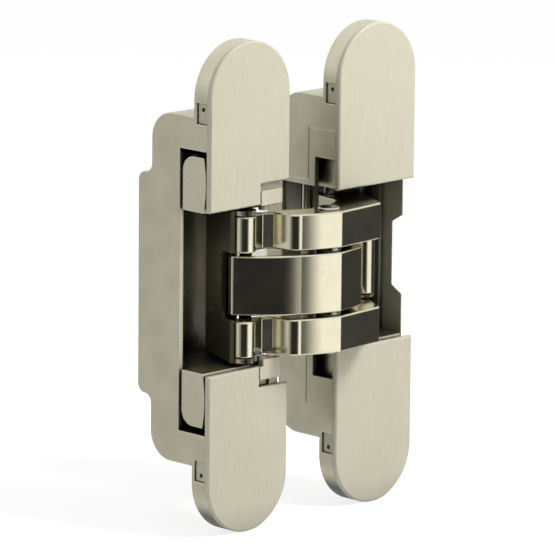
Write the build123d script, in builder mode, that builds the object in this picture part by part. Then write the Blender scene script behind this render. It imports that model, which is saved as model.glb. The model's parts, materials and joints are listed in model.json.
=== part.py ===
from build123d import *

import math
import os

# Concealed door hinge, open flat at 180 degrees, in millimetres with +Z up.
# The origin is the centre of the frame body's flange face. +X runs across to the
# door body, +Y runs into the mortise and -Y points out of it.

# Bodies let into the frame and into the door
BODY_WIDTH = 24.0
BODY_LENGTH = 108.0
BODY_GAP = 15.3
FLANGE_THICK = 3.9
SHOULDER_DEPTH = 16.8
BELLY_DEPTH = 20.9
BOX_HALF = 38.3
BELLY_HALF = 24.5
BOX_CORNER_R = 6.0
BELLY_FILLET = 2.0
WALL = 1.2
FLOOR_THICK = 1.0
POCKET_HALF = 31.1
WINDOW_DEPTH = 8.2
INNER_WINDOW_DEPTH = 16.2
INNER_WINDOW_HALF = 19.2
SCREW_ACROSS = 11.0
SCREW_FROM_END = 8.0
SCREW_HOLE_R = 2.2
SCREW_SINK_R = 4.1
SCREW_SINK_ANGLE = 90.0

# Cover caps and the clips that hold them
CAP_THICK = 1.2
CAP_EDGE = 0.3
MOUTH_HALF = 17.9
NOTCH_WIDE = 8.6
NOTCH_TALL = 4.6
CLIP_NEAR = 36.9
CLIP_FAR = 41.5
CLIP_RECESS_IN = 1.4
CLIP_RECESS_DEPTH = 3.1
CLIP_THICK = 0.9
CLIP_CLEAR = 0.1
CLIP_HOLE_R = 0.5

# Plan of the pivots, each given as distance from the middle plane and depth
ARM_PIVOT_ACROSS = 12.9
ARM_PIVOT_DEPTH = 6.9
LINK_PIVOT_ACROSS = 11.6
LINK_PIVOT_DEPTH = 12.5
EYE_ACROSS = 18.5
EYE_DEPTH = 1.6
CROSS_DEPTH = -5.6
FOLD = 180.0
ARM_SHARE = 0.56
LINK_TURN = 72.5

# Heights in the stack of arms and links
MIDDLE_HALF = 6.6
OUTER_LOW = 7.6
OUTER_THICK = 8.0
FRAME_LINK_LOW = 15.8
FRAME_LINK_THICK = 1.0
DOOR_LINK_LOW = 6.85
DOOR_LINK_THICK = 0.5
BLOCK_LOW = 17.6
HEIGHT_ROOM = 1.5

# Arm outlines, each point given as distance from the middle plane and depth
HUB_R = 2.7
EYE_R = 2.5
CROSS_R = 3.3
PEAK = 4.1
HEEL = (20.9, 4.2)
HEEL_FILLET = 1.3
SWEEP = (16.35, -1.3)
SHOULDER = (8.9, -6.3)
BOW = (4.6, -8.35)
MIDDLE_BROW = (8.3, -7.9)
MIDDLE_BROW_FILLET = 1.5
MIDDLE_CHEEK = (12.2, -1.2)
KNEE = (13.65, -8.4)
KNEE_FILLET = 1.5
OUTER_BROW = (10.6, -5.85)
OUTER_BROW_FILLET = 2.8
OUTER_CHEEK = (11.85, -0.35)
CHEEK_FILLET = 0.4
NECK = (13.8, 0.8)
BACK_BOW = (10.2, 1.5)
BACK_FILLET = 5.0
BACK_ACROSS = 3.2
CROOK = (8.9, 0.2)
CROOK_FILLET = 3.0
HUB_TOP_ANGLE = 60.0
EYE_FRONT_ANGLE = 21.0
ARM_EDGE = 0.25

# Pins, bushes and washers
ARM_PIN_R = 1.4
LINK_PIN_R = 1.3
CROSS_PIN_R = 2.0
EYE_PIN_R = 1.2
PIN_SEAT = 4.0
PIN_CHAMFER = 0.2
BUSH_WALL = 0.5
RING_R = 2.9
RING_GAP = 0.05
WASHER_R = 2.4
HEAD_R = 2.4
HEAD_THICK = 0.45
RUN_CLEAR = 0.05
SEAT_CLEAR = 0.02
PIN_RELIEF = 0.5

# Links
WEB_LEAN = 22.0
WEB_OUT = 5.9
WEB_THICK = 1.0
WEB_START = -0.4
WEB_PAST_EYE = 0.8
WEB_NOTCH_START = 8.4
WEB_BEND_R = 0.45
WEB_NOTCH_HALF = 7.5
LINK_EYE_R = 2.5
LINK_HUB_WALL = 0.9
LINK_HUB_OUT = 1.6
LINK_WAIST = 1.5
LINK_WAIST_FORWARD = 5.6
DRIFT_STEPS = 12
SLOT_CLEAR = 0.12

# Bearing carriers
CARRIER_FRONT = 0.6
CARRIER_BOW = 0.7
CARRIER_STEP = 7.8
CARRIER_CORNER_R = 3.4
SIDE_ROOM = 1.4
FRAME_INSET_OUT = 0.4
FRAME_INSET_IN = 1.4
DOOR_INSET_OUT = 1.4
DOOR_INSET_IN = 2.6
CARRIER_FLOOR_CLEAR = 0.1
RAIL_THICK = 1.5
RAIL_FRONT = 11.6
BRACKET_HALF = 21.6

# Clamp tongues that stand in the notches of the frame caps
CLAMP_WIDE = 5.5
CLAMP_INSET = 2.1
CLAMP_THICK = 1.3
CLAMP_FRONT = -0.75
CLAMP_STOP = 20.9
UPPER_CLAMP_END = 17.8
LOWER_CLAMP_END = 16.4
CLAMP_EDGE = 0.25
STUD_R = 1.2
STUD_INSET = 5.6
STUD_DEPTH = 1.1
STUD_END = 16.2

HALF_WIDTH = BODY_WIDTH / 2
MID_X = (BODY_WIDTH + BODY_GAP) / 2
FRAME = -1
DOOR = 1
UPPER = 1
LOWER = -1
OUTER_HIGH = OUTER_LOW + OUTER_THICK
POCKET_FLOOR = SHOULDER_DEPTH - FLOOR_THICK
BELLY_FLOOR = BELLY_DEPTH - FLOOR_THICK
BUSH_R = ARM_PIN_R + RUN_CLEAR + BUSH_WALL
SCREW_APART = BODY_LENGTH - 2 * SCREW_FROM_END
BLOCK_HIGH = POCKET_HALF - HEIGHT_ROOM
CARRIER_DEEP_HALF = HALF_WIDTH - WALL - SIDE_ROOM
CLAMP_MID = HALF_WIDTH - CLAMP_INSET - CLAMP_WIDE / 2
STUD_ACROSS = HALF_WIDTH - STUD_INSET

os.makedirs("parts", exist_ok=True)


def across(side, distance):
    """X of a point at a distance from the middle plane, on the given side."""
    return MID_X + side * distance


def face_plane(depth):
    """Plane facing out of the mortise, with local x along X and local y along Z."""
    return Plane(origin=(0, depth, 0), x_dir=(1, 0, 0), z_dir=(0, -1, 0))


def turned(point, centre, degrees):
    """Point turned about a centre in plan, anticlockwise seen from above."""
    c = math.cos(math.radians(degrees))
    s = math.sin(math.radians(degrees))
    dx = point[0] - centre[0]
    dy = point[1] - centre[1]
    return (centre[0] + dx * c - dy * s, centre[1] + dx * s + dy * c)


def touch_point(centre, radius, point, way):
    """Where a line from a point touches a circle, on the side given by way."""
    dx = point[0] - centre[0]
    dy = point[1] - centre[1]
    angle = math.atan2(dy, dx) + way * math.acos(radius / math.hypot(dx, dy))
    return (centre[0] + radius * math.cos(angle), centre[1] + radius * math.sin(angle))


def save(part, name):
    """Label a finished piece and write it as a STEP file of that name."""
    part.label = name
    export_step(part, f"parts/{name}.step")


# Pivots in plan at rest, for one side
def arm_pivot(side):
    return (across(side, ARM_PIVOT_ACROSS), ARM_PIVOT_DEPTH)


def link_pivot(side):
    return (across(side, LINK_PIVOT_ACROSS), LINK_PIVOT_DEPTH)


def eye_pivot(side):
    return (across(side, EYE_ACROSS), EYE_DEPTH)


CROSS = (MID_X, CROSS_DEPTH)


def body_plan(side):
    """X of the centre of the body on one side."""
    return MID_X + side * MID_X


# Housing: stadium flange, boxed pocket with a deeper belly, open mouth
def make_housing(side):
    centre = body_plan(side)
    with BuildPart() as housing:
        with BuildSketch(face_plane(0)):
            with Locations((centre, 0)):
                SlotOverall(BODY_LENGTH, BODY_WIDTH, rotation=90)
        extrude(amount=-FLANGE_THICK)
        with BuildSketch(Plane.YZ.offset(centre - HALF_WIDTH)) as profile:
            with BuildLine():
                Polyline(
                    (0, -BOX_HALF),
                    (SHOULDER_DEPTH, -BOX_HALF),
                    (SHOULDER_DEPTH, -BELLY_HALF),
                    (BELLY_DEPTH, -BELLY_HALF),
                    (BELLY_DEPTH, BELLY_HALF),
                    (SHOULDER_DEPTH, BELLY_HALF),
                    (SHOULDER_DEPTH, BOX_HALF),
                    (0, BOX_HALF),
                    close=True,
                )
            make_face()
            between = (BELLY_HALF + BOX_HALF) / 2
            deep = profile.vertices().filter_by(lambda v: v.X > FLANGE_THICK)
            fillet(deep.filter_by(lambda v: abs(v.Y) > between), radius=BOX_CORNER_R)
            steps = profile.vertices().filter_by(lambda v: abs(v.Y) < between)
            fillet(steps, radius=BELLY_FILLET)
        extrude(amount=BODY_WIDTH)
        # Pocket for the carrier, then the belly that clears the links
        with Locations((centre, 0, 0)):
            Box(
                BODY_WIDTH - 2 * WALL,
                POCKET_FLOOR,
                2 * POCKET_HALF,
                align=(Align.CENTER, Align.MIN, Align.CENTER),
                mode=Mode.SUBTRACT,
            )
            Box(
                BODY_WIDTH - 2 * WALL,
                BELLY_FLOOR,
                2 * (BELLY_HALF - WALL),
                align=(Align.CENTER, Align.MIN, Align.CENTER),
                mode=Mode.SUBTRACT,
            )
            # Side windows, through both walls and open to the front
            Box(
                BODY_WIDTH,
                WINDOW_DEPTH,
                2 * POCKET_HALF,
                align=(Align.CENTER, Align.MIN, Align.CENTER),
                mode=Mode.SUBTRACT,
            )
        # Deeper window in the inner wall, beside the link pivot
        with Locations((centre - side * HALF_WIDTH, 0, 0)):
            Box(
                2 * WALL,
                INNER_WINDOW_DEPTH,
                2 * INNER_WINDOW_HALF,
                align=(Align.CENTER, Align.MIN, Align.CENTER),
                mode=Mode.SUBTRACT,
            )
        # Clip recesses in both edges of the flange at each end
        recess_mid = (CLIP_NEAR + CLIP_FAR) / 2
        for edge in (-1, 1):
            for end in (-1, 1):
                with Locations((centre + edge * HALF_WIDTH, 0, end * recess_mid)):
                    Box(
                        2 * CLIP_RECESS_IN,
                        CLIP_RECESS_DEPTH,
                        CLIP_FAR - CLIP_NEAR,
                        align=(Align.CENTER, Align.MIN, Align.CENTER),
                        mode=Mode.SUBTRACT,
                    )
        with Locations(face_plane(0)):
            with Locations((centre, 0)):
                with GridLocations(SCREW_ACROSS, SCREW_APART, 2, 2):
                    CounterSinkHole(
                        SCREW_HOLE_R,
                        SCREW_SINK_R,
                        depth=FLANGE_THICK,
                        counter_sink_angle=SCREW_SINK_ANGLE,
                    )
    return housing.part


# Cap: half a stadium over one end of the flange, with two clips
def make_cap(side, end):
    centre = body_plan(side)
    with BuildPart() as cap:
        with BuildSketch(face_plane(0)):
            with Locations((centre, 0)):
                SlotOverall(BODY_LENGTH, BODY_WIDTH, rotation=90)
                Rectangle(BODY_WIDTH, 2 * MOUTH_HALF, mode=Mode.SUBTRACT)
            with Locations((centre, -end * BODY_LENGTH / 2)):
                Rectangle(BODY_WIDTH, BODY_LENGTH, mode=Mode.SUBTRACT)
            if side == FRAME:
                notch_x = centre + HALF_WIDTH - NOTCH_WIDE / 2
                notch_z = end * (MOUTH_HALF + NOTCH_TALL / 2)
                with Locations((notch_x, notch_z)):
                    Rectangle(NOTCH_WIDE, NOTCH_TALL, mode=Mode.SUBTRACT)
        extrude(amount=CAP_THICK)
        front = cap.faces().sort_by(Axis.Y)[0]
        chamfer(front.edges(), length=CAP_EDGE)
        clip_long = CLIP_FAR - CLIP_NEAR - 2 * CLIP_CLEAR
        clip_mid = end * (CLIP_NEAR + CLIP_FAR) / 2
        clip_deep = CLIP_RECESS_DEPTH - CLIP_CLEAR
        clip_x = HALF_WIDTH - CLIP_RECESS_IN + CLIP_CLEAR + CLIP_THICK / 2
        for edge in (-1, 1):
            with Locations((centre + edge * clip_x, 0, clip_mid)):
                Box(
                    CLIP_THICK,
                    clip_deep,
                    clip_long,
                    align=(Align.CENTER, Align.MIN, Align.CENTER),
                )
        # Detent hole through both clips
        with BuildSketch(Plane.YZ.offset(centre - HALF_WIDTH)):
            with Locations((clip_deep / 2, clip_mid + end * CLIP_THICK)):
                Circle(CLIP_HOLE_R)
        extrude(amount=BODY_WIDTH, mode=Mode.SUBTRACT)
    return cap.part


# Carrier: two bearing blocks joined by a rail along the outer wall
def make_carrier(side, inset_out, inset_in):
    centre = body_plan(side)
    arm_x, arm_y = arm_pivot(side)
    link_x, link_y = link_pivot(side)
    left = centre - HALF_WIDTH + (inset_out if side == FRAME else inset_in)
    right = centre + HALF_WIDTH - (inset_in if side == FRAME else inset_out)
    with BuildPart() as carrier:
        for end in (-1, 1):
            # Wide head that shows in the side windows, its front bowed
            with BuildSketch(Plane.YZ.offset(left)) as head:
                with BuildLine():
                    mid_z = end * (BLOCK_LOW + BLOCK_HIGH) / 2
                    edge_y = CARRIER_FRONT + CARRIER_BOW
                    low = (edge_y, end * BLOCK_LOW)
                    high = (edge_y, end * BLOCK_HIGH)
                    ThreePointArc(low, (CARRIER_FRONT, mid_z), high)
                    Polyline(
                        high,
                        (CARRIER_STEP, end * BLOCK_HIGH),
                        (CARRIER_STEP, end * BLOCK_LOW),
                        low,
                    )
                make_face()
                back = head.vertices().sort_by(Axis.X)[-2:]
                outer = back.sort_by(Axis.Y)[-1 if end > 0 else 0]
                fillet(outer, radius=CARRIER_CORNER_R)
            extrude(amount=right - left)
            # Narrow foot that reaches the pocket floor
            foot_deep = POCKET_FLOOR - CARRIER_FLOOR_CLEAR - CARRIER_FRONT - CARRIER_BOW
            foot_mid = end * (BLOCK_LOW + BLOCK_HIGH) / 2
            with Locations((centre, CARRIER_FRONT + CARRIER_BOW, foot_mid)):
                Box(
                    2 * CARRIER_DEEP_HALF,
                    foot_deep,
                    BLOCK_HIGH - BLOCK_LOW,
                    align=(Align.CENTER, Align.MIN, Align.CENTER),
                )
            # Bracket into the belly that carries the rail
            bracket_deep = BELLY_FLOOR - CARRIER_FLOOR_CLEAR - RAIL_FRONT
            bracket_mid = end * (BLOCK_LOW + BRACKET_HALF) / 2
            with Locations((centre, RAIL_FRONT, bracket_mid)):
                Box(
                    2 * CARRIER_DEEP_HALF,
                    bracket_deep,
                    BRACKET_HALF - BLOCK_LOW,
                    align=(Align.CENTER, Align.MIN, Align.CENTER),
                )
        rail_x = centre + side * (CARRIER_DEEP_HALF - RAIL_THICK / 2)
        with Locations((rail_x, RAIL_FRONT, 0)):
            Box(
                RAIL_THICK,
                BELLY_FLOOR - CARRIER_FLOOR_CLEAR - RAIL_FRONT,
                2 * BRACKET_HALF,
                align=(Align.CENTER, Align.MIN, Align.CENTER),
            )
        # Blind seats for the two pins
        seat_top = BLOCK_LOW + PIN_SEAT
        with BuildSketch(Plane.XY.offset(-seat_top)):
            with Locations((arm_x, arm_y)):
                Circle(ARM_PIN_R + SEAT_CLEAR)
            with Locations((link_x, link_y)):
                Circle(LINK_PIN_R + SEAT_CLEAR)
        extrude(amount=2 * seat_top, mode=Mode.SUBTRACT)
        # Grooves for the studs of the clamp tongues
        if side == FRAME:
            with BuildSketch(Plane.XY.offset(-CLAMP_STOP)):
                with Locations((STUD_ACROSS, STUD_DEPTH)):
                    Circle(STUD_R + SEAT_CLEAR)
            extrude(amount=2 * CLAMP_STOP, mode=Mode.SUBTRACT)
    return carrier.part


# Plan outline of an arm whose long end is on the given side
def arm_sketch(side):
    pivot = arm_pivot(side)
    eye = eye_pivot(-side)

    def long_half(point):
        return (across(side, point[0]), point[1])

    def short_half(point):
        return (across(-side, point[0]), point[1])

    peak = (MID_X, CROSS_DEPTH - PEAK)
    heel = long_half(HEEL)
    crook = long_half(CROOK)
    neck = short_half(NECK)
    back_bow = short_half(BACK_BOW)
    back_depth = CROSS_DEPTH + CROSS_R
    back_near = short_half((BACK_ACROSS, back_depth))
    back_far = long_half((BACK_ACROSS, back_depth))
    hub_near = (pivot[0] - side * HUB_R, pivot[1])
    hub_top = turned(hub_near, pivot, -side * HUB_TOP_ANGLE)
    hub_back = touch_point(pivot, HUB_R, heel, side)
    hub_front = touch_point(pivot, HUB_R, crook, -side)
    eye_near = (eye[0] + side * EYE_R, eye[1])
    eye_front = turned(eye_near, eye, -side * EYE_FRONT_ANGLE)
    eye_far = (eye[0] - side * EYE_R, eye[1])
    eye_back = touch_point(eye, EYE_R, back_bow, side)
    rounded = [(heel, HEEL_FILLET), (crook, CROOK_FILLET), (back_bow, BACK_FILLET)]
    with BuildSketch() as outline:
        with BuildLine():
            Line(hub_back, heel)
            if side == FRAME:
                # Middle arm: swept front on the long half, a flat on the short one
                shoulder = long_half(SHOULDER)
                brow = short_half(MIDDLE_BROW)
                cheek = short_half(MIDDLE_CHEEK)
                ThreePointArc(heel, long_half(SWEEP), shoulder)
                ThreePointArc(shoulder, long_half(BOW), peak)
                Polyline(peak, brow, cheek, neck, eye_front)
                rounded.append((brow, MIDDLE_BROW_FILLET))
            else:
                # Outer arm: a flat front on the long half, swept on the short one
                knee = long_half(KNEE)
                shoulder = short_half(SHOULDER)
                brow = short_half(OUTER_BROW)
                cheek = short_half(OUTER_CHEEK)
                Polyline(heel, knee, peak)
                ThreePointArc(peak, short_half(BOW), shoulder)
                Polyline(shoulder, brow, cheek, neck, eye_front)
                rounded.append((knee, KNEE_FILLET))
                rounded.append((brow, OUTER_BROW_FILLET))
            ThreePointArc(eye_front, eye_far, eye_back)
            Polyline(eye_back, back_bow, back_near, back_far, crook, hub_front)
            ThreePointArc(hub_front, hub_top, hub_back)
        make_face()
        rounded.append((cheek, CHEEK_FILLET))
        for corner, radius in rounded:
            fillet(outline.vertices().sort_by_distance(corner)[0], radius=radius)
        # Relief that clears the link pin when the arm is folded in
        relief = turned(link_pivot(side), pivot, -side * ARM_SHARE * FOLD)
        with Locations(relief):
            Circle(LINK_PIN_R + PIN_RELIEF, mode=Mode.SUBTRACT)
    return outline.sketch


# Arm plate: the plan outline between two heights, bored at its three pivots
def make_arm(side, low, thick, hub_bore, cross_bore, eye_bore):
    outline = arm_sketch(side)
    with BuildPart() as arm:
        with BuildSketch(Plane.XY.offset(low)):
            add(outline)
        extrude(amount=thick)
        rims = arm.faces().filter_by(Axis.Z).edges()
        chamfer(rims, length=ARM_EDGE)
        with BuildSketch(Plane.XY.offset(low)):
            with Locations(arm_pivot(side)):
                Circle(hub_bore)
            with Locations(CROSS):
                Circle(cross_bore)
            with Locations(eye_pivot(-side)):
                Circle(eye_bore)
        extrude(amount=thick, mode=Mode.SUBTRACT)
    return arm.part


# Round pin along Z between two heights, chamfered at both ends
def make_pin(centre, radius, low, high):
    with BuildPart() as pin:
        with BuildSketch(Plane.XY.offset(low)):
            with Locations(centre):
                Circle(radius)
        extrude(amount=high - low)
        chamfer(pin.edges().filter_by(GeomType.CIRCLE), length=PIN_CHAMFER)
    return pin.part


# Flat ring round a pivot, between two heights
def make_ring(centre, outer, inner, low, high):
    with BuildPart() as ring:
        with BuildSketch(Plane.XY.offset(low)):
            with Locations(centre):
                Circle(outer)
                Circle(inner, mode=Mode.SUBTRACT)
        extrude(amount=high - low)
    return ring.part


# Centre pin with a thin head at each end
def make_centre_pin():
    shank_half = OUTER_HIGH + RING_GAP
    with BuildPart() as pin:
        with BuildSketch(Plane.XY.offset(-shank_half)):
            with Locations(CROSS):
                Circle(CROSS_PIN_R)
        extrude(amount=2 * shank_half)
        for low in (shank_half, -shank_half - HEAD_THICK):
            with BuildSketch(Plane.XY.offset(low)):
                with Locations(CROSS):
                    Circle(HEAD_R)
            extrude(amount=HEAD_THICK)
        for end in (0, -1):
            chamfer(pin.faces().sort_by(Axis.Z)[end].edges(), length=PIN_CHAMFER)
    return pin.part


# Where the link's far pin stands in the link's own frame as the hinge folds
def pin_drift(fold):
    arm_turn = -ARM_SHARE * fold
    cross = turned(CROSS, arm_pivot(FRAME), arm_turn)
    door_eye = turned(eye_pivot(DOOR), arm_pivot(FRAME), arm_turn)
    tilt = math.radians(fold / 2)
    normal = (math.cos(tilt), -math.sin(tilt))
    reach = (door_eye[0] - cross[0]) * normal[0] + (door_eye[1] - cross[1]) * normal[1]
    eye = (door_eye[0] - 2 * reach * normal[0], door_eye[1] - 2 * reach * normal[1])
    rest_eye = eye_pivot(FRAME)
    pin = link_pivot(FRAME)
    moved = (pin[0] - eye[0] + rest_eye[0], pin[1] - eye[1] + rest_eye[1])
    return turned(moved, rest_eye, LINK_TURN * fold / FOLD)


# Ends of the straight slot that the far pin runs in, on the frame side
def slot_ends():
    start = link_pivot(FRAME)
    steps = [pin_drift(FOLD * n / DRIFT_STEPS) for n in range(DRIFT_STEPS + 1)]
    far = max(steps, key=lambda p: math.dist(p, start))
    run = math.dist(far, start)
    way = ((far[0] - start[0]) / run, (far[1] - start[1]) / run)
    along = [(p[0] - start[0]) * way[0] + (p[1] - start[1]) * way[1] for p in steps]
    aside = [(p[1] - start[1]) * way[0] - (p[0] - start[0]) * way[1] for p in steps]
    off = (max(aside) + min(aside)) / 2
    base = (start[0] - way[1] * off, start[1] + way[0] * off)
    ends = []
    for reach in (min(along), max(along)):
        ends.append((base[0] + way[0] * reach, base[1] + way[1] * reach))
    return ends, (max(aside) - min(aside)) / 2


# Link bent from sheet: a web behind the arms and two flanges with eyes
def make_link(side, low, thick, notched):
    pin = link_pivot(side)
    eye = eye_pivot(side)
    frame_ends, half_drift = slot_ends()
    ends = [(across(side, MID_X - p[0]), p[1]) for p in frame_ends]
    bore = LINK_PIN_R + SLOT_CLEAR + half_drift
    # Unit vectors along the web, from the far pin towards the eye, and outwards
    lean = math.radians(WEB_LEAN)
    along = (side * math.sin(lean), -math.cos(lean))
    out = (side * math.cos(lean), math.sin(lean))

    def spot(outward, forward):
        x = pin[0] + outward * out[0] + forward * along[0]
        y = pin[1] + outward * out[1] + forward * along[1]
        return (x, y)

    dx = eye[0] - pin[0]
    dy = eye[1] - pin[1]
    eye_forward = dx * along[0] + dy * along[1]
    web_end = eye_forward + WEB_PAST_EYE
    high = low + thick
    mid = ((ends[0][0] + ends[-1][0]) / 2, (ends[0][1] + ends[-1][1]) / 2)
    with BuildPart() as link:
        with BuildSketch(Plane.XY.offset(-high)):
            with BuildLine():
                Polyline(
                    spot(WEB_OUT, WEB_START),
                    spot(WEB_OUT, web_end),
                    spot(WEB_OUT - WEB_THICK, web_end),
                    spot(WEB_OUT - WEB_THICK, WEB_START),
                    close=True,
                )
            make_face()
        extrude(amount=2 * high)
        if notched:
            with BuildSketch(Plane.XY.offset(-WEB_NOTCH_HALF)):
                with BuildLine():
                    Polyline(
                        spot(WEB_OUT + WEB_THICK, WEB_NOTCH_START),
                        spot(WEB_OUT + WEB_THICK, web_end + WEB_THICK),
                        spot(WEB_OUT - 2 * WEB_THICK, web_end + WEB_THICK),
                        spot(WEB_OUT - 2 * WEB_THICK, WEB_NOTCH_START),
                        close=True,
                    )
                make_face()
            extrude(amount=2 * WEB_NOTCH_HALF, mode=Mode.SUBTRACT)
        for level in (low, -high):
            with BuildSketch(Plane.XY.offset(level)):
                with BuildLine():
                    Polyline(
                        spot(WEB_OUT, WEB_START),
                        spot(WEB_OUT, web_end),
                        spot(LINK_WAIST, eye_forward),
                        spot(LINK_WAIST, LINK_WAIST_FORWARD),
                        spot(0, LINK_HUB_OUT),
                        spot(0, WEB_START),
                        close=True,
                    )
                make_face()
                with Locations(eye):
                    Circle(LINK_EYE_R)
                SlotCenterPoint(mid, ends[-1], 2 * (bore + LINK_HUB_WALL))
            extrude(amount=thick)
        # Rounded bends between the web and the flanges
        way = Axis((0, 0, 0), (along[0], along[1], 0))
        web_face = link.faces().sort_by(Axis((0, 0, 0), (out[0], out[1], 0)))[-1]
        bends = [e for e in web_face.edges().filter_by(way) if abs(e.center().Z) > low]
        fillet(bends, radius=WEB_BEND_R if thick > WEB_BEND_R else thick / 2)
        # Eye bore and the slot for the far pin
        with BuildSketch(Plane.XY.offset(-high)):
            with Locations(eye):
                Circle(EYE_PIN_R + RUN_CLEAR)
            SlotCenterPoint(mid, ends[-1], 2 * bore)
        extrude(amount=2 * high, mode=Mode.SUBTRACT)
    return link.part


# Clamp tongue with the stud that locates it in the carrier's block
def make_clamp(end, start):
    with BuildPart() as clamp:
        with BuildSketch(face_plane(CLAMP_FRONT)):
            with Locations((CLAMP_MID, end * (start + CLAMP_STOP) / 2)):
                Rectangle(CLAMP_WIDE, CLAMP_STOP - start)
        extrude(amount=-CLAMP_THICK)
        front = clamp.faces().sort_by(Axis.Y)[0]
        chamfer(front.edges(), length=CLAMP_EDGE)
        with BuildSketch(Plane.XY.offset(end * STUD_END)):
            with Locations((STUD_ACROSS, STUD_DEPTH)):
                Circle(STUD_R)
        extrude(amount=end * (CLAMP_STOP - STUD_END))
    return clamp.part


# Frame body
save(make_housing(FRAME), "frame_housing")
save(make_cap(FRAME, UPPER), "frame_cap_upper")
save(make_cap(FRAME, LOWER), "frame_cap_lower")

# Frame carrier with its pins, washers and clamps
save(make_carrier(FRAME, FRAME_INSET_OUT, FRAME_INSET_IN), "frame_carrier")
save(make_pin(arm_pivot(FRAME), ARM_PIN_R, -BRACKET_HALF, BRACKET_HALF), "frame_arm_pin")
save(make_pin(link_pivot(FRAME), LINK_PIN_R, -BRACKET_HALF, BRACKET_HALF), "frame_link_pin")
washer_bore = LINK_PIN_R + SEAT_CLEAR
washer_low = FRAME_LINK_LOW + FRAME_LINK_THICK + RING_GAP
washer_high = BLOCK_LOW - RING_GAP
upper_washer = make_ring(link_pivot(FRAME), WASHER_R, washer_bore, washer_low, washer_high)
lower_washer = make_ring(link_pivot(FRAME), WASHER_R, washer_bore, -washer_high, -washer_low)
save(upper_washer, "frame_link_washer_upper")
save(lower_washer, "frame_link_washer_lower")
save(make_clamp(UPPER, UPPER_CLAMP_END), "frame_clamp_upper")
save(make_clamp(LOWER, LOWER_CLAMP_END), "frame_clamp_lower")

# Middle arm, which turns in the frame carrier
hub_bore = BUSH_R + SEAT_CLEAR
bush_bore = ARM_PIN_R + RUN_CLEAR
eye_bore = EYE_PIN_R + SEAT_CLEAR
cross_seat = CROSS_PIN_R + SEAT_CLEAR
cross_run = CROSS_PIN_R + RUN_CLEAR
middle = make_arm(FRAME, -MIDDLE_HALF, 2 * MIDDLE_HALF, hub_bore, cross_seat, eye_bore)
save(middle, "middle_arm")
middle_bush = make_ring(arm_pivot(FRAME), BUSH_R, bush_bore, -MIDDLE_HALF, MIDDLE_HALF)
save(middle_bush, "middle_arm_bush")
save(make_centre_pin(), "centre_pin")
door_link_high = DOOR_LINK_LOW + DOOR_LINK_THICK
save(make_pin(eye_pivot(DOOR), EYE_PIN_R, -door_link_high, door_link_high), "door_eye_pin")
ring_low = MIDDLE_HALF + RING_GAP
ring_high = OUTER_LOW - RING_GAP
save(make_ring(CROSS, RING_R, cross_seat, ring_low, ring_high), "cross_washer_upper")
save(make_ring(CROSS, RING_R, cross_seat, -ring_high, -ring_low), "cross_washer_lower")

# Outer arm, two plates that turn together about the centre pin
for end, low, label in ((UPPER, OUTER_LOW, "upper"), (LOWER, -OUTER_HIGH, "lower")):
    plate = make_arm(DOOR, low, OUTER_THICK, hub_bore, cross_run, eye_bore)
    save(plate, f"outer_arm_{label}")
    bush = make_ring(arm_pivot(DOOR), BUSH_R, bush_bore, low, low + OUTER_THICK)
    save(bush, f"outer_arm_bush_{label}")
    tips = sorted((end * OUTER_LOW, end * (washer_low + RING_GAP)))
    save(make_pin(eye_pivot(FRAME), EYE_PIN_R, tips[0], tips[-1]), f"frame_eye_pin_{label}")

# Links that guide the short ends of the arms
save(make_link(FRAME, FRAME_LINK_LOW, FRAME_LINK_THICK, notched=True), "frame_link")
save(make_link(DOOR, DOOR_LINK_LOW, DOOR_LINK_THICK, notched=False), "door_link")

# Door carrier with its pins
save(make_carrier(DOOR, DOOR_INSET_OUT, DOOR_INSET_IN), "door_carrier")
save(make_pin(arm_pivot(DOOR), ARM_PIN_R, -BRACKET_HALF, BRACKET_HALF), "door_arm_pin")
save(make_pin(link_pivot(DOOR), LINK_PIN_R, -BRACKET_HALF, BRACKET_HALF), "door_link_pin")

# Door body
save(make_housing(DOOR), "door_housing")
save(make_cap(DOOR, UPPER), "door_cap_upper")
save(make_cap(DOOR, LOWER), "door_cap_lower")
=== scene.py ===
"""Looks, light and camera for a concealed door hinge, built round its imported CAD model.

Places are in the CAD model's own frame: the origin is the centre of the frame body's
flange face, +X runs across to the door body, +Y runs into the mortise and +Z is up.
Lengths are in metres, apart from those of finishes and pieces, which are in millimetres
and are turned into metres by MM where they are used.
"""

from __future__ import annotations

import json
import logging
import math
from dataclasses import dataclass, field, replace
from enum import Enum

import bmesh
import bpy
from mathutils import Matrix, Vector

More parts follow.
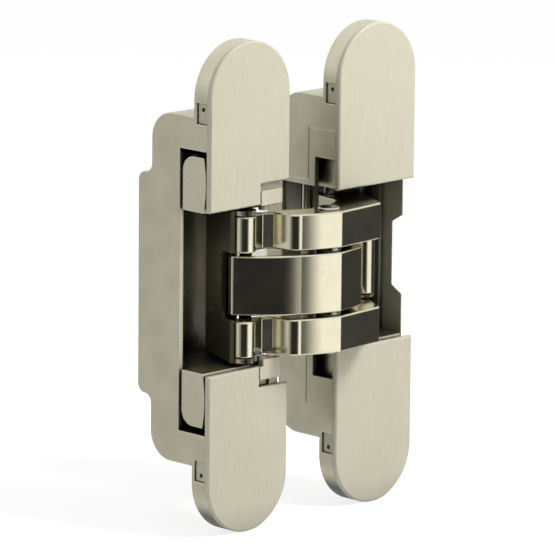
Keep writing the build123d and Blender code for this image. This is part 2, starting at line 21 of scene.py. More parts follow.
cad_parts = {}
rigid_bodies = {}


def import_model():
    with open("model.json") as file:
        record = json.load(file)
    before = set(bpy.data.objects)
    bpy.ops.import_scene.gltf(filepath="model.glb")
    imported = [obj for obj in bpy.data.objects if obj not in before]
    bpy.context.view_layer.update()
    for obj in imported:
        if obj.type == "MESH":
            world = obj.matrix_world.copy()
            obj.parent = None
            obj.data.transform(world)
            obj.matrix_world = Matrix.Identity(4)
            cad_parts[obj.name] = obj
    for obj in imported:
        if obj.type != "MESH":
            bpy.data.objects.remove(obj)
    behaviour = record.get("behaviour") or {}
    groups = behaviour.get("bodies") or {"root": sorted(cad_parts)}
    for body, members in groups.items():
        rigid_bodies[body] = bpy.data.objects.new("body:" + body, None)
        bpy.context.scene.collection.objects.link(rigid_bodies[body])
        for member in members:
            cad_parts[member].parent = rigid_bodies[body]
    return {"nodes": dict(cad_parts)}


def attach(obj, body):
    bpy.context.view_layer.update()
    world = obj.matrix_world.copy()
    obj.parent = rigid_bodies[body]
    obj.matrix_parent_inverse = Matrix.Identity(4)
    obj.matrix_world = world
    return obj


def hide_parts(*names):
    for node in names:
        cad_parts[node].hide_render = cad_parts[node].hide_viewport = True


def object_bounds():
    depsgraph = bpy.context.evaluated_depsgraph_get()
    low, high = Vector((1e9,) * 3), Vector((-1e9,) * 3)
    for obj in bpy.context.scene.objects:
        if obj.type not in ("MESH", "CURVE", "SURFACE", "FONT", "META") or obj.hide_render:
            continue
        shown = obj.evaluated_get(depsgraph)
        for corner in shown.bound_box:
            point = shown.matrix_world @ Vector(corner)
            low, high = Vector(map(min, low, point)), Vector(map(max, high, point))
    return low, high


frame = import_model()
CAD_LOW, CAD_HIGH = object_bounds()

LOG = logging.getLogger("hinge")
MM = 0.001
OPAQUE = 1.0
WHITE = (1.0, 1.0, 1.0, OPAQUE)
HALF = 0.5
HALF_TURN = 180.0
FULL_TURN = 360.0
# What Blender puts into a new file
STRAYS = ("Cube", "Light", "Camera")
# Name and sign of the two ends, above and below the middle
ENDS = (("upper", 1), ("lower", -1))

# The curve between display values and linear ones
BYTE = 255.0
CURVE_KNEE = 0.04045
CURVE_SLOPE = 12.92
CURVE_OFFSET = 0.055
CURVE_POWER = 2.4

# Places of the sockets of a colour Mix node
MIX_SHARE, MIX_LOW, MIX_HIGH = 0, 6, 7
MIX_RESULT = 2

ROUNDING_STEPS = 3

# How every finish reads its noises, its edges, where it is lightened, and the hollows and
# faces where shade is painted
EDGE_SAMPLES = 6
HOLLOW_SAMPLES = 8
LINE_DETAIL = 4.0
BLOT_DETAIL = 2.0
RELIEF = 0.02 * MM
LINE_SPAN = (0.3, 0.7)
BLOT_SPAN = (0.35, 0.7)
TURN_SPAN = (0.995, 0.93)
OPENNESS_SPAN = (0.78, 0.3)
FACING_SPAN = (0.9, 0.97)
# Share of painted shade on faces that point the given way
CUT_SHADE_SHARE = 0.9

Colour = tuple[float, float, float]
Socket = bpy.types.NodeSocket


def linear(red: float, green: float, blue: float) -> Colour:
    """Turn a display colour into the linear colour that shaders take.

    Args:
        red: Red, from 0 to 255.
        green: Green, from 0 to 255.
        blue: Blue, from 0 to 255.

    Returns:
        The same colour as three linear values from 0 to 1.
    """

    def one(value: float) -> float:
        """Linear value of one display value."""
        part = value / BYTE
        if part <= CURVE_KNEE:
            return part / CURVE_SLOPE
        return ((part + CURVE_OFFSET) / (1.0 + CURVE_OFFSET)) ** CURVE_POWER

    return one(red), one(green), one(blue)


class Grain(Enum):
    """Direction in which a surface's fine lines run, as noise scales per millimetre."""

    EVEN = (1.0, 1.0, 1.0)
    BRUSHED_UP = (5.0, 5.0, 0.07)
    DRAWN_ACROSS = (0.25, 0.25, 3.5)
    TURNED = (0.6, 0.6, 4.0)


class NodeKit:
    """Small helper that adds shader nodes to one material or world and links them."""

    def __init__(self, tree: bpy.types.NodeTree) -> None:
        """Keep the node tree and empty it.

        Args:
            tree: The node tree of a material or of the world.
        """
        self.tree = tree
        tree.nodes.clear()

    def add(self, kind: str, **settings: object) -> bpy.types.Node:
        """Add a node and set its own properties.

        Args:
            kind: Blender's type name of the node.
            **settings: Properties of the node by name.

        Returns:
            The new node.
        """
        node = self.tree.nodes.new(kind)
        for name, value in settings.items():
            setattr(node, name, value)
        return node

    def link(self, source: Socket, target: Socket) -> None:
        """Link one output socket to one input socket."""
        self.tree.links.new(source, target)

    def feed(self, node: bpy.types.Node, **inputs: object) -> None:
        """Set or link a node's inputs by name, with spaces written as underscores.

        Args:
            node: The node whose inputs are given.
            **inputs: A socket to link from, or a plain value.
        """
        for name, value in inputs.items():
            socket = node.inputs[name.replace("_", " ")]
            if isinstance(value, Socket):
                self.link(value, socket)
            else:
                socket.default_value = value

    def maths(
        self, operation: str, first: object, second: object = 0.0, clamp: bool = False
    ) -> Socket:
        """Add a Math node.

        Args:
            operation: The node's operation, such as MULTIPLY.
            first: Socket or number for the first input.
            second: Socket or number for the second input.
            clamp: Whether the result is kept between 0 and 1.

        Returns:
            The node's output socket.
        """
        node = self.add("ShaderNodeMath", operation=operation, use_clamp=clamp)
        for socket, value in zip(node.inputs, (first, second)):
            if isinstance(value, Socket):
                self.link(value, socket)
            else:
                socket.default_value = value
        return node.outputs[0]

    def spread(
        self, value: Socket, span: tuple[float, float], out: tuple[float, float] = (0.0, 1.0)
    ) -> Socket:
        """Map a value smoothly from one range to another.

        Args:
            value: The socket to map.
            span: Input range.
            out: Output range.

        Returns:
            The mapped value's socket.
        """
        node = self.add("ShaderNodeMapRange", interpolation_type="SMOOTHSTEP")
        self.feed(
            node,
            Value=value,
            From_Min=span[0],
            From_Max=span[1],
            To_Min=out[0],
            To_Max=out[1],
        )
        return node.outputs["Result"]

    def blend(self, share: object, low: object, high: object, mode: str = "MIX") -> Socket:
        """Mix two colours.

        Args:
            share: Socket or number, how much of the second colour is used.
            low: First colour, as a socket or four numbers.
            high: Second colour, as a socket or four numbers.
            mode: The node's blend type.

        Returns:
            The mixed colour's socket.
        """
        node = self.add("ShaderNodeMix", data_type="RGBA", blend_type=mode)
        for index, value in ((MIX_SHARE, share), (MIX_LOW, low), (MIX_HIGH, high)):
            if isinstance(value, Socket):
                self.link(value, node.inputs[index])
            else:
                node.inputs[index].default_value = value
        return node.outputs[MIX_RESULT]

    def noise(self, place: Socket, scale: float, detail: float) -> Socket:
        """Add a noise texture.

        Args:
            place: Coordinates.
            scale: Number of blots per unit of the coordinates.
            detail: How many finer octaves are added.

        Returns:
            The noise value's socket.
        """
        node = self.add("ShaderNodeTexNoise")
        self.feed(node, Vector=place, Scale=scale, Detail=detail)
        return node.outputs[0]


@dataclass(frozen=True)
class MetalFinish:
    """A metal surface with fine lines, faint blotches and softly rounded edges, and with
    painted light:
    its edges are lightened, partly as rubbed wear and partly as a painted highlight, its
    deep recesses take painted shade, and the faces that point one given way can take painted
    shade too.

    Lengths are in millimetres. shade_way is the way in which the faces that take painted
    shade point.
    """

    name: str
    colour: Colour
    shade: Colour
    metallic: float = 1.0
    roughness: float = 0.3
    roughness_swing: float = 0.06
    grain: Grain = Grain.EVEN
    grain_scale: float = 2.0
    grain_depth: float = 0.12
    grain_tint: float = 0.25
    blotch_scale: float = 0.12
    blotch_tint: float = 0.3
    edge_radius: float = 0.22
    # How much the edges are lightened and to which colour: rubbed wear and a painted
    # highlight together
    rub_highlight_share: float = 0.35
    rub_highlight_colour: Colour = field(default_factory=lambda: linear(232, 228, 208))
    # Faces that point this way take painted shade; None leaves them alone
    shade_way: tuple[float, float, float] | None = None
    # Reach, share and colour of the painted shade in deep recesses; the same colour is the
    # painted shade on faces that point the given way
    recess_shade_reach: float = 14.0
    recess_shade_share: float = 0.97
    painted_shade_colour: Colour = field(default_factory=lambda: linear(24, 23, 19))

    def make(self) -> bpy.types.Material:
        """Build the node material.

        Returns:
            The material, ready to assign.
        """
        material = bpy.data.materials.new(self.name)
        material.use_nodes = True
        kit = NodeKit(material.node_tree)
        lines, blots = self.read_noises(kit)
        rounded = kit.add("ShaderNodeBevel", samples=EDGE_SAMPLES)
        rounded.inputs["Radius"].default_value = self.edge_radius * MM
        bump = kit.add("ShaderNodeBump")
        kit.feed(bump, Strength=self.grain_depth, Distance=RELIEF, Height=lines)
        kit.link(rounded.outputs[0], bump.inputs["Normal"])
        colour = self.stain(kit, lines, blots)
        colour = self.rub_and_highlight_edges(kit, colour, rounded.outputs[0])
        if self.shade_way is not None:
            colour = self.paint_cut_shade(kit, colour)
        shader = kit.add("ShaderNodeBsdfPrincipled")
        kit.feed(
            shader,
            Base_Color=self.paint_recess_shade(kit, colour),
            Metallic=self.metallic,
            Roughness=self.vary_roughness(kit, lines, blots),
            Normal=bump.outputs[0],
        )
        out = kit.add("ShaderNodeOutputMaterial")
        kit.link(shader.outputs[0], out.inputs["Surface"])
        return material

    def read_noises(self, kit: NodeKit) -> tuple[Socket, Socket]:
        """Add the noise of the fine lines and the noise of the blotches.

        Args:
            kit: Helper for the material's nodes.

        Returns:
            The two noise values' sockets.
        """
        place = kit.add("ShaderNodeTexCoord").outputs["Object"]
        per_mm = kit.add("ShaderNodeMapping")
        kit.feed(per_mm, Vector=place, Scale=(1 / MM, 1 / MM, 1 / MM))
        along = kit.add("ShaderNodeMapping")
        kit.feed(along, Vector=per_mm.outputs[0], Scale=self.grain.value)
        lines = kit.noise(along.outputs[0], self.grain_scale, LINE_DETAIL)
        blots = kit.noise(per_mm.outputs[0], self.blotch_scale, BLOT_DETAIL)
        return lines, blots

    def stain(self, kit: NodeKit, lines: Socket, blots: Socket) -> Socket:
        """Mix the finish's two colours by its lines and blotches.

        Args:
            kit: Helper for the material's nodes.
            lines: Noise of the fine lines.
            blots: Noise of the blotches.

        Returns:
            The colour's socket.
        """
        tint = kit.maths("MULTIPLY", kit.spread(lines, LINE_SPAN), self.grain_tint)
        cloud = kit.maths("MULTIPLY", kit.spread(blots, BLOT_SPAN), self.blotch_tint)
        both = kit.maths("ADD", tint, cloud, clamp=True)
        return kit.blend(both, (*self.colour, OPAQUE), (*self.shade, OPAQUE))

    def rub_and_highlight_edges(self, kit: NodeKit, colour: Socket, rounded: Socket) -> Socket:
        """Lighten the edges, partly as rubbed wear and partly as a painted highlight.

        Args:
            kit: Helper for the material's nodes.
            colour: The colour so far.
            rounded: Normal of the surface with rounded edges.

        Returns:
            The new colour's socket.
        """
        turn = kit.add("ShaderNodeVectorMath", operation="DOT_PRODUCT")
        kit.link(rounded, turn.inputs[0])
        kit.link(kit.add("ShaderNodeNewGeometry").outputs["Normal"], turn.inputs[1])
        rubbed_and_lit = kit.spread(turn.outputs["Value"], TURN_SPAN, (0.0, self.rub_highlight_share))
        return kit.blend(rubbed_and_lit, colour, (*self.rub_highlight_colour, OPAQUE))

    def paint_cut_shade(self, kit: NodeKit, colour: Socket) -> Socket:
        """Paint shade on the faces that point the given way.

        Args:
            kit: Helper for the material's nodes.
            colour: The colour so far.

        Returns:
            The new colour's socket.
        """
        facing = kit.add("ShaderNodeVectorMath", operation="DOT_PRODUCT")
        kit.link(kit.add("ShaderNodeTexCoord").outputs["Normal"], facing.inputs[0])
        facing.inputs[1].default_value = self.shade_way
        cut_shade = kit.spread(facing.outputs["Value"], FACING_SPAN, (0.0, CUT_SHADE_SHARE))
        return kit.blend(cut_shade, colour, (*self.painted_shade_colour, OPAQUE))

    def paint_recess_shade(self, kit: NodeKit, colour: Socket) -> Socket:
        """Paint shade into deep recesses, darker where the surface is more closed in.

        Args:
            kit: Helper for the material's nodes.
            colour: The colour so far.

        Returns:
            The new colour's socket.
        """
        hollow = kit.add("ShaderNodeAmbientOcclusion", samples=HOLLOW_SAMPLES)
        kit.feed(hollow, Distance=self.recess_shade_reach * MM)
        shaded_hollow = kit.spread(hollow.outputs["AO"], OPENNESS_SPAN, (0.0, self.recess_shade_share))
        return kit.blend(shaded_hollow, colour, (*self.painted_shade_colour, OPAQUE))

    def vary_roughness(self, kit: NodeKit, lines: Socket, blots: Socket) -> Socket:
        """Swing the roughness a little by lines and blotches.

        Args:
            kit: Helper for the material's nodes.
            lines: Noise of the fine lines.
            blots: Noise of the blotches.

        Returns:
            The roughness's socket.
        """
        mean = kit.maths("MULTIPLY", kit.maths("ADD", lines, blots), HALF)
        low = self.roughness - self.roughness_swing
        high = self.roughness + self.roughness_swing
        return kit.spread(mean, LINE_SPAN, (low, high))


CAP_FINISH = MetalFinish(
    name="brushed_cap",
    colour=linear(162, 158, 141),
    shade=linear(150, 146, 129),
    metallic=0.45,
    roughness=0.42,
    roughness_swing=0.05,
    grain=Grain.BRUSHED_UP,
    grain_scale=2.2,
    grain_depth=0.22,
    grain_tint=0.55,
    blotch_scale=0.04,
    blotch_tint=0.2,
    edge_radius=0.12,
    rub_highlight_share=0.1,
    recess_shade_share=0.4,
)
BODY_FINISH = MetalFinish(
    name="cast_body",
    colour=linear(204, 200, 177),
    shade=linear(180, 176, 154),
    metallic=0.9,
    roughness=0.36,
    grain_scale=3.0,
    grain_depth=0.2,
    grain_tint=0.25,
    blotch_scale=0.15,
    blotch_tint=0.4,
    edge_radius=0.4,
    rub_highlight_share=0.35,
)
BLOCK_FINISH = MetalFinish(
    name="carrier_block",
    colour=linear(222, 218, 194),
    shade=linear(198, 194, 170),
    roughness=0.3,
    grain_scale=2.5,
    grain_tint=0.25,
    edge_radius=0.3,
    recess_shade_share=0.75,
)
ARM_FINISH = MetalFinish(
    name="polished_arm",
    colour=linear(224, 219, 193),
    shade=linear(206, 201, 176),
    roughness=0.15,
    roughness_swing=0.03,
    grain_scale=7.0,
    grain_depth=0.08,
    grain_tint=0.35,
    blotch_scale=0.3,
    blotch_tint=0.2,
    edge_radius=0.3,
    rub_highlight_share=0.25,
    recess_shade_share=0.3,
)
LINK_FINISH = MetalFinish(
    name="pressed_link",
    colour=linear(192, 188, 168),
    shade=linear(170, 166, 146),
    roughness=0.3,
    roughness_swing=0.03,
    grain=Grain.DRAWN_ACROSS,
    grain_scale=1.2,
    grain_depth=0.04,
    grain_tint=0.2,
    blotch_tint=0.1,
    edge_radius=0.15,
    rub_highlight_share=0.1,
    # The link's faces that point this way take painted shade
    shade_way=(-0.375, -0.927, 0.0),
    recess_shade_share=0.12,
)
PIN_FINISH = MetalFinish(
    name="ground_pin",
    colour=linear(214, 212, 204),
    shade=linear(188, 186, 178),
    roughness=0.16,
    roughness_swing=0.04,
    grain=Grain.TURNED,
    grain_tint=0.2,
    blotch_tint=0.1,
    edge_radius=0.12,
)
WALL_FINISH = replace(BODY_FINISH, name="cast_wall", metallic=0.7, recess_shade_share=0.5)
SILL_FINISH = replace(BODY_FINISH, name="cast_sill", rub_highlight_share=0.0)
# Dark colour of the plates at the blocks' ends: painted shade
SHADE_PLATE_FINISH = MetalFinish(
    name="painted_shade_plate",
    colour=linear(72, 70, 62),
    shade=linear(50, 48, 42),
    roughness=0.3,
    edge_radius=0.1,
    rub_highlight_share=0.15,
)
BUSH_FINISH = MetalFinish(
    name="polymer_bush",
    colour=linear(120, 118, 108),
    shade=linear(96, 94, 86),
    metallic=0.0,
    roughness=0.45,
    edge_radius=0.1,
    rub_highlight_share=0.1,
)


class Upright(Enum):
    """Direction in which a slab is extruded, as the places of its outline and its span."""

    ALONG_X = (1, 2, 0)
    ALONG_Y = (0, 2, 1)
    ALONG_Z = (0, 1, 2)


def add_slab(
    mesh: bmesh.types.BMesh,
    outline: list[tuple[float, float]],
    span: tuple[float, float],
    way: Upright,
) -> None:
    """Add a straight slab to a mesh.

    Args:
        mesh: The mesh to add to.
        outline: Corners of the slab's face in millimetres, in order round it.
        span: Where the slab starts and ends along its extrusion, in millimetres.
        way: Direction of the extrusion.
    """
    first, second, third = way.value
    rings = []
    for level in span:
        ring = []
        for a, b in outline:
            place = [0.0, 0.0, 0.0]
            place[first] = a * MM
            place[second] = b * MM
            place[third] = level * MM
            ring.append(mesh.verts.new(place))
        rings.append(ring)
    near, far = rings
    mesh.faces.new(near)
    mesh.faces.new(list(reversed(far)))
    for index, corner in enumerate(near):
        after = (index + 1) % len(near)
        mesh.faces.new((corner, far[index], far[after], near[after]))


def round_outline(
    centre: tuple[float, float], radius: float, steps: int
) -> list[tuple[float, float]]:
    """Corners of a circle.

    Args:
        centre: Middle of the circle.
        radius: Its radius.
        steps: How many corners it gets.

    Returns:
        The corners in order.
    """
    turns = [2 * math.pi * n / steps for n in range(steps)]
    return [
        (centre[0] + radius * math.cos(turn), centre[1] + radius * math.sin(turn))
        for turn in turns
    ]


def round_edges(name: str, mesh: bmesh.types.BMesh, bevel: float) -> bpy.types.Object:
    """Turn a mesh under construction into a piece of the scene with rounded edges.

    Args:
        name: Name of the piece.
        mesh: The mesh, which is freed.
        bevel: Width of the rounding along its edges, in millimetres.

    Returns:
        The new object.
    """
    bmesh.ops.recalc_face_normals(mesh, faces=mesh.faces)
    data = bpy.data.meshes.new(name)
    mesh.to_mesh(data)
    mesh.free()
    piece = bpy.data.objects.new(name, data)
    bpy.context.scene.collection.objects.link(piece)
    rounding = piece.modifiers.new("rounding", "BEVEL")
    rounding.width = bevel * MM
    rounding.segments = ROUNDING_STEPS
    rounding.limit_method = "ANGLE"
    return piece


def material_of(
    finish: MetalFinish, palette: dict[MetalFinish, bpy.types.Material]
) -> bpy.types.Material:
    """Take a finish's material from the palette, and make it when it is first asked for.

    Args:
        finish: The finish.
        palette: The materials made so far, by finish.

    Returns:
        The finish's material.
    """
    if finish not in palette:
        palette[finish] = finish.make()
    return palette[finish]


@dataclass
class SubAssembly:
    """Pieces that belong together: nodes of the CAD model and pieces built here."""

    name: str
    finishes: dict[str, MetalFinish] = field(default_factory=dict)
    built: dict[str, MetalFinish] = field(default_factory=dict)

    def build(self) -> None:
        """Build the pieces that the CAD model doesn't carry. Most have none."""

    def dress(self, palette: dict[MetalFinish, bpy.types.Material]) -> None:
        """Give every node and every built piece of the sub-assembly its finish.

        Args:
            palette: The materials made so far, by finish.
        """
        for node_name, finish in self.finishes.items():
            for slot in frame["nodes"][node_name].material_slots:
                slot.material = material_of(finish, palette)
            LOG.info("%s: %s in %s", self.name, node_name, finish.name)
        for piece_name, finish in self.built.items():
            bpy.data.objects[piece_name].data.materials.append(material_of(finish, palette))
            LOG.info("%s: %s built, in %s", self.name, piece_name, finish.name)


@dataclass
class HousingAssembly(SubAssembly):
    """Cast housing with its two cover caps, on one side. Sizes are in millimetres."""

    side: str = "frame"
    wall_thick: float = 0.14
    # The wall's outline above the middle, as depth and height, set back where the
    # folded arms pass
    wall_outline: tuple[tuple[float, float], ...] = (
        (5.25, 0.0),
        (5.25, 7.2),
        (2.2, 9.0),
        (2.2, 19.5),
        (8.25, 19.5),
    )
    wall_bevel: float = 0.03
    sill_x: tuple[float, float] = (27.32, 28.48)
    # Each sill's outline above the middle, as depth and height
    sill_outline: tuple[tuple[float, float], ...] = (
        (0.02, 31.05),
        (8.15, 31.05),
        (8.15, 19.25),
        (16.15, 19.25),
        (16.15, 18.0),
        (6.2, 18.0),
        (6.2, 24.6),
        (0.02, 24.6),
    )
    sill_bevel: float = 0.02

    def __post_init__(self) -> None:
        """List the nodes of this side with their finishes."""
        self.finishes = {
            f"{self.side}_housing": BODY_FINISH,
            f"{self.side}_cap_upper": CAP_FINISH,
            f"{self.side}_cap_lower": CAP_FINISH,
        }

    def build(self) -> None:
        """Close the door body's outer wall and narrow the window in its inner wall."""
        if self.side != "door":
            return
        below = [(depth, -height) for depth, height in reversed(self.wall_outline[1:])]
        wall = [*self.wall_outline, *below]
        outside = CAD_HIGH.x / MM
        wall_x = (outside - self.wall_thick, outside)
        self.build_plate("door_wall_panel", wall, wall_x, self.wall_bevel, WALL_FINISH)
        for end, sign in ENDS:
            name = f"door_window_sill_{end}"
            sill = [(depth, sign * height) for depth, height in self.sill_outline]
            self.build_plate(name, sill, self.sill_x, self.sill_bevel, SILL_FINISH)

    def build_plate(
        self,
        name: str,
        outline: list[tuple[float, float]],
        span: tuple[float, float],
        bevel: float,
        finish: MetalFinish,
    ) -> None:
        """Build one plate that stands in a side wall of the door body.

        Args:
            name: Name of the piece.
            outline: Corners as depth and height.
            span: Where the plate starts and ends across the body.
            bevel: Width of the rounding along its edges.
            finish: The plate's finish.
        """
        mesh = bmesh.new()
        add_slab(mesh, outline, span, Upright.ALONG_X)
        plate = round_edges(name, mesh, bevel)
        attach(plate, "door")
        self.built[plate.name] = finish


@dataclass
class CarrierAssembly(SubAssembly):
    """Sliding carrier with its pins, on one side, and what else the frame's carries.

    Sizes are in millimetres. The tongues stand in the notches of the frame's caps, flush
    with them, and a thin tail behind each cap's face lets them slide.
    """

    side: str = "frame"
    tongue_front: tuple[float, float] = (-1.18, 0.55)
    tongue_left: float = 3.5
    tongue_right: float = 9.75
    upper_tongue_right: float = 9.9
    tongue_step: float = 4.5
    tongue_back_end: float = 20.9
    tongue_shoulder: float = 17.95
    upper_tongue_end: float = 17.6
    lower_tongue_end: float = 16.4
    tail_front: tuple[float, float] = (0.05, 0.55)
    tail_end: float = 24.0
    lower_tail_left: float = 7.5
    stud_place: tuple[float, float] = (6.4, 1.1)
    stud_radius: float = 1.2
    stud_end: float = 16.2
    round_steps: int = 32
    tongue_bevel: float = 0.18
    plate_outline: tuple[tuple[float, float], ...] = (
        (2.6, 1.1),
        (3.3, 0.75),
        (10.2, 0.75),
        (10.5, 1.2),
        (10.5, 7.6),
        (10.0, 8.0),
        (3.2, 8.0),
        (2.6, 7.5),
    )
    plate_levels: tuple[float, float] = (17.0, 17.58)
    plate_bevel: float = 0.1

    def __post_init__(self) -> None:
        """List the nodes of this side with their finishes."""
        self.finishes = {
            f"{self.side}_carrier": BLOCK_FINISH,
            f"{self.side}_arm_pin": PIN_FINISH,
            f"{self.side}_link_pin": PIN_FINISH,
        }
        if self.side == "frame":
            for end, _ in ENDS:
                self.finishes[f"frame_link_washer_{end}"] = PIN_FINISH

    def build(self) -> None:
        """Build the frame's tongues and the dark plates at the ends of its blocks, whose
        colour paints the shade there.
        """
        if self.side != "frame":
            return
        upper = [
            (self.tongue_left, self.upper_tongue_end),
            (self.upper_tongue_right, self.upper_tongue_end),
            (self.upper_tongue_right, self.tongue_back_end),
            (self.tongue_left, self.tongue_back_end),
        ]
        lower = [
            (self.tongue_left, self.tongue_shoulder),
            (self.tongue_step, self.tongue_shoulder),
            (self.tongue_step, self.lower_tongue_end),
            (self.tongue_right, self.lower_tongue_end),
            (self.tongue_right, self.tongue_back_end),
            (self.tongue_left, self.tongue_back_end),
        ]
        self.build_tongue("upper", 1, upper, self.tongue_left, self.upper_tongue_right)
        self.build_tongue("lower", -1, lower, self.lower_tail_left, self.tongue_right)
        for end, sign in ENDS:
            self.build_shade_plate(end, sign)

    def build_shade_plate(self, end: str, sign: int) -> None:
        """Build the thin dark plate at one end of the blocks, whose colour paints the shade
        there.

        Args:
            end: "upper" or "lower".
            sign: 1 above the middle, -1 below it.
        """
        mesh = bmesh.new()
        levels = (sign * self.plate_levels[0], sign * self.plate_levels[1])
        add_slab(mesh, list(self.plate_outline), levels, Upright.ALONG_Z)
        plate = round_edges(f"frame_thrust_plate_{end}", mesh, self.plate_bevel)
        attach(plate, "frame_carrier")
        self.built[plate.name] = SHADE_PLATE_FINISH

    def build_tongue(
        self,
        end: str,
        sign: int,
        outline: list[tuple[float, float]],
        tail_left: float,
        tail_right: float,
    ) -> None:
        """Build one tongue with its tail and stud.

        Args:
            end: "upper" or "lower".
            sign: 1 above the middle, -1 below it.
            outline: Corners of the tongue's face, as X and distance from the middle.
            tail_left: Left edge of the tail.
            tail_right: Right edge of the tail.
        """
        mesh = bmesh.new()
        face = [(x, sign * z) for x, z in outline]
        add_slab(mesh, face, self.tongue_front, Upright.ALONG_Y)
        tail_start = sign * (self.tongue_back_end - self.tongue_bevel)
        tail_stop = sign * self.tail_end
        tail = [
            (tail_left, tail_start),
            (tail_right, tail_start),
            (tail_right, tail_stop),
            (tail_left, tail_stop),
        ]
        add_slab(mesh, tail, self.tail_front, Upright.ALONG_Y)
        stud = round_outline(self.stud_place, self.stud_radius, self.round_steps)
        levels = (sign * self.stud_end, sign * self.tongue_back_end)
        add_slab(mesh, stud, levels, Upright.ALONG_Z)
        tongue = round_edges(f"frame_tongue_{end}", mesh, self.tongue_bevel)
        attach(tongue, "frame_carrier")
        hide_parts(f"frame_clamp_{end}")
        self.built[tongue.name] = CAP_FINISH


@dataclass
class ArmAssembly(SubAssembly):
    """Crossed arms with their bushes, pins and washers."""

    def __post_init__(self) -> None:
        """List the arms' nodes with their finishes."""
        self.finishes = {
            "middle_arm": ARM_FINISH,
            "middle_arm_bush": BUSH_FINISH,
            "centre_pin": PIN_FINISH,
            "door_eye_pin": PIN_FINISH,
        }
        for end, _ in ENDS:
            self.finishes[f"outer_arm_{end}"] = ARM_FINISH
            self.finishes[f"outer_arm_bush_{end}"] = BUSH_FINISH
            self.finishes[f"frame_eye_pin_{end}"] = PIN_FINISH
            self.finishes[f"cross_washer_{end}"] = PIN_FINISH


@dataclass
class LinkAssembly(SubAssembly):
    """Two pressed links behind the short ends of the arms."""

    def __post_init__(self) -> None:
        """List the links' nodes with their finish."""
        self.finishes = {"frame_link": LINK_FINISH, "door_link": LINK_FINISH}


@dataclass(frozen=True)
class Lamp:
    """Round soft lamp that lights the hinge and isn't mirrored in it."""

    name: str
    place: tuple[float, float, float]
    size: float
    power: float

    def build(self, target: Vector) -> None:
        """Hang the lamp and aim it.

        Args:
            target: The point that it shines at.
        """
        data = bpy.data.lights.new(self.name, "AREA")
        data.shape = "DISK"
        data.size = self.size
        data.energy = self.power
        lamp = bpy.data.objects.new(self.name, data)
        lamp.location = self.place
        aim = target - Vector(self.place)
        lamp.rotation_euler = aim.to_track_quat("-Z", "Y").to_euler()
        lamp.visible_glossy = False
        bpy.context.scene.collection.objects.link(lamp)


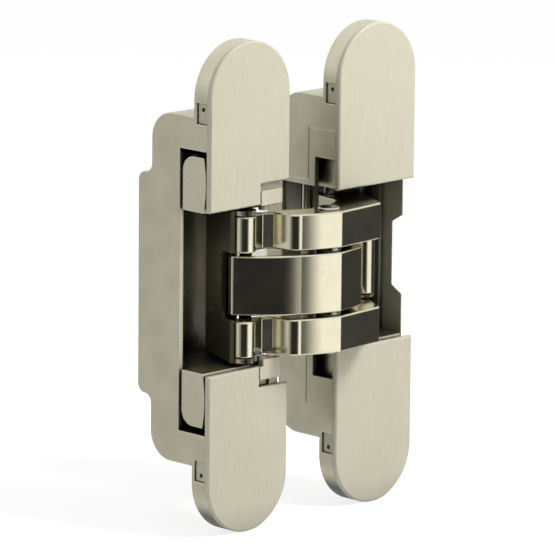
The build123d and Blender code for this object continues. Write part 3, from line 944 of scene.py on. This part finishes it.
@dataclass
class Studio:
    """White floor, soft lamps and a light tent with dark cards beside the object."""

    floor_half: float = 4.0
    floor_glow: float = 0.8
    floor_colour: Colour = (0.85, 0.85, 0.85)
    # The dark cards' upper and lower edges, as the height of the direction, where each
    # edge starts to fade and where it ends
    card_top: tuple[float, float] = (-0.06, 0.14)
    card_foot: tuple[float, float] = (-0.45, -0.65)
    tent_level: float = 1.0
    # A ramp's colours end at 1, so the tent's levels are kept in it at this share
    ramp_share: float = 0.5
    # Brightness of the tent against compass direction, in degrees from +X
    tent: tuple[tuple[float, float], ...] = (
        (-180.0, 0.42),
        (-166.0, 0.20),
        (-158.0, 0.02),
        (-107.0, 0.02),
        (-101.0, 0.14),
        (-87.0, 1.25),
        (-49.0, 1.25),
        (-44.0, 0.45),
        (-40.0, 0.05),
        (0.0, 0.05),
        (30.0, 0.16),
        (90.0, 0.22),
        (118.0, 0.45),
        (135.0, 0.56),
        (152.0, 0.66),
        (168.0, 0.72),
        (180.0, 0.42),
    )
    lamps: tuple[Lamp, ...] = (
        Lamp("front_softbox", (0.13, -0.20, 0.25), 0.14, 2.8),
        Lamp("side_softbox", (-1.0, 0.35, 0.5), 0.5, 2.0),
    )

    def build(self) -> None:
        """Make the floor, the world and the lamps."""
        self.build_floor()
        self.build_world()
        for lamp in self.lamps:
            lamp.build((CAD_LOW + CAD_HIGH) / 2)

    def build_floor(self) -> None:
        """Lay a white floor just under the object that keeps its soft shadow."""
        half = self.floor_half
        corners = [(-half, -half, 0), (half, -half, 0), (half, half, 0), (-half, half, 0)]
        mesh = bpy.data.meshes.new("floor")
        mesh.from_pydata(corners, [], [(0, 1, 2, 3)])
        floor = bpy.data.objects.new("floor", mesh)
        floor.location.z = CAD_LOW.z
        floor.visible_glossy = False
        bpy.context.scene.collection.objects.link(floor)
        material = bpy.data.materials.new("floor_paper")
        material.use_nodes = True
        kit = NodeKit(material.node_tree)
        out = kit.add("ShaderNodeOutputMaterial")
        paper = kit.add("ShaderNodeBsdfDiffuse")
        kit.feed(paper, Color=(*self.floor_colour, OPAQUE))
        glow = kit.add("ShaderNodeEmission")
        kit.feed(glow, Color=WHITE, Strength=1.0)
        seen = kit.add("ShaderNodeLightPath").outputs["Is Camera Ray"]
        mix = kit.add("ShaderNodeMixShader")
        kit.link(kit.maths("MULTIPLY", seen, self.floor_glow), mix.inputs[0])
        kit.link(paper.outputs[0], mix.inputs[1])
        kit.link(glow.outputs[0], mix.inputs[2])
        kit.link(mix.outputs[0], out.inputs["Surface"])
        mesh.materials.append(material)

    def build_world(self) -> None:
        """Make the light tent, white to the camera and banded to everything else."""
        world = bpy.data.worlds.new("tent")
        bpy.context.scene.world = world
        world.use_nodes = True
        kit = NodeKit(world.node_tree)
        out = kit.add("ShaderNodeOutputWorld")
        way = kit.add("ShaderNodeSeparateXYZ")
        kit.link(kit.add("ShaderNodeTexCoord").outputs["Generated"], way.inputs[0])
        banded = self.build_bands(kit, way)
        above = kit.spread(way.outputs["Z"], self.card_top)
        below = kit.spread(way.outputs["Z"], self.card_foot)
        open_share = kit.maths("ADD", above, below, clamp=True)
        level = self.tent_level
        tent = kit.blend(open_share, banded, (level, level, level, OPAQUE))
        light = kit.add("ShaderNodeBackground")
        kit.feed(light, Color=tent, Strength=1.0)
        white = kit.add("ShaderNodeBackground")
        kit.feed(white, Color=WHITE, Strength=1.0)
        seen = kit.add("ShaderNodeLightPath").outputs["Is Camera Ray"]
        mix = kit.add("ShaderNodeMixShader")
        kit.link(seen, mix.inputs[0])
        kit.link(light.outputs[0], mix.inputs[1])
        kit.link(white.outputs[0], mix.inputs[2])
        kit.link(mix.outputs[0], out.inputs["Surface"])

    def build_bands(self, kit: NodeKit, way: bpy.types.Node) -> Socket:
        """Turn a direction's compass bearing into the tent's brightness.

        Args:
            kit: Helper for the world's nodes.
            way: Node that gives the direction's X, Y and Z.

        Returns:
            The brightness's socket.
        """
        bearing = kit.maths("ARCTAN2", way.outputs["Y"], way.outputs["X"])
        turn = kit.maths("MULTIPLY_ADD", bearing, 1 / (2 * math.pi))
        turn.node.inputs[2].default_value = HALF
        ramp = kit.add("ShaderNodeValToRGB")
        ramp.color_ramp.interpolation = "LINEAR"
        stops = ramp.color_ramp.elements
        while len(stops) > 1:
            stops.remove(stops[-1])
        for number, (degrees, level) in enumerate(self.tent):
            place = (degrees + HALF_TURN) / FULL_TURN
            stop = stops[0] if number == 0 else stops.new(place)
            stop.position = place
            grey = level * self.ramp_share
            stop.color = (grey, grey, grey, OPAQUE)
        kit.link(turn, ramp.inputs[0])
        full = 1 / self.ramp_share
        return kit.blend(1.0, ramp.outputs[0], (full, full, full, OPAQUE), "MULTIPLY")


@dataclass(frozen=True)
class PhotoCamera:
    """Long lens that sees the hinge as the photograph does."""

    place: tuple[float, float, float] = (-0.79117, -0.79638, 0.23448)
    up: tuple[float, float, float] = (0.13666, 0.14978, 0.97923)
    forward: tuple[float, float, float] = (0.69441, 0.69049, -0.20252)
    focal_px: float = 5311.65
    width_px: float = 555.0
    sensor: float = 36.0
    clip: tuple[float, float] = (0.05, 50.0)

    def build(self) -> None:
        """Make the camera and set it as the scene's own."""
        data = bpy.data.cameras.new("camera")
        data.sensor_width = self.sensor
        data.lens = self.focal_px * self.sensor / self.width_px
        data.clip_start, data.clip_end = self.clip
        camera = bpy.data.objects.new("camera", data)
        up, back = Vector(self.up), -Vector(self.forward)
        turn = Matrix((up.cross(back), up, back)).transposed().to_4x4()
        camera.matrix_world = Matrix.Translation(self.place) @ turn
        bpy.context.scene.collection.objects.link(camera)
        bpy.context.scene.camera = camera


def main() -> None:
    """Dress every sub-assembly, then set up the studio and the camera."""
    logging.basicConfig(level=logging.INFO, format="%(name)s: %(message)s")
    bpy.context.scene.view_settings.view_transform = "Standard"
    for stray in [thing for thing in bpy.data.objects if thing.name in STRAYS]:
        bpy.data.objects.remove(stray)
    palette: dict[MetalFinish, bpy.types.Material] = {}
    assemblies = (
        HousingAssembly("frame body", side="frame"),
        HousingAssembly("door body", side="door"),
        CarrierAssembly("frame carrier", side="frame"),
        CarrierAssembly("door carrier", side="door"),
        ArmAssembly("arms"),
        LinkAssembly("links"),
    )
    for assembly in assemblies:
        assembly.build()
        assembly.dress(palette)
    Studio().build()
    PhotoCamera().build()


if __name__ == "__main__":
    main()
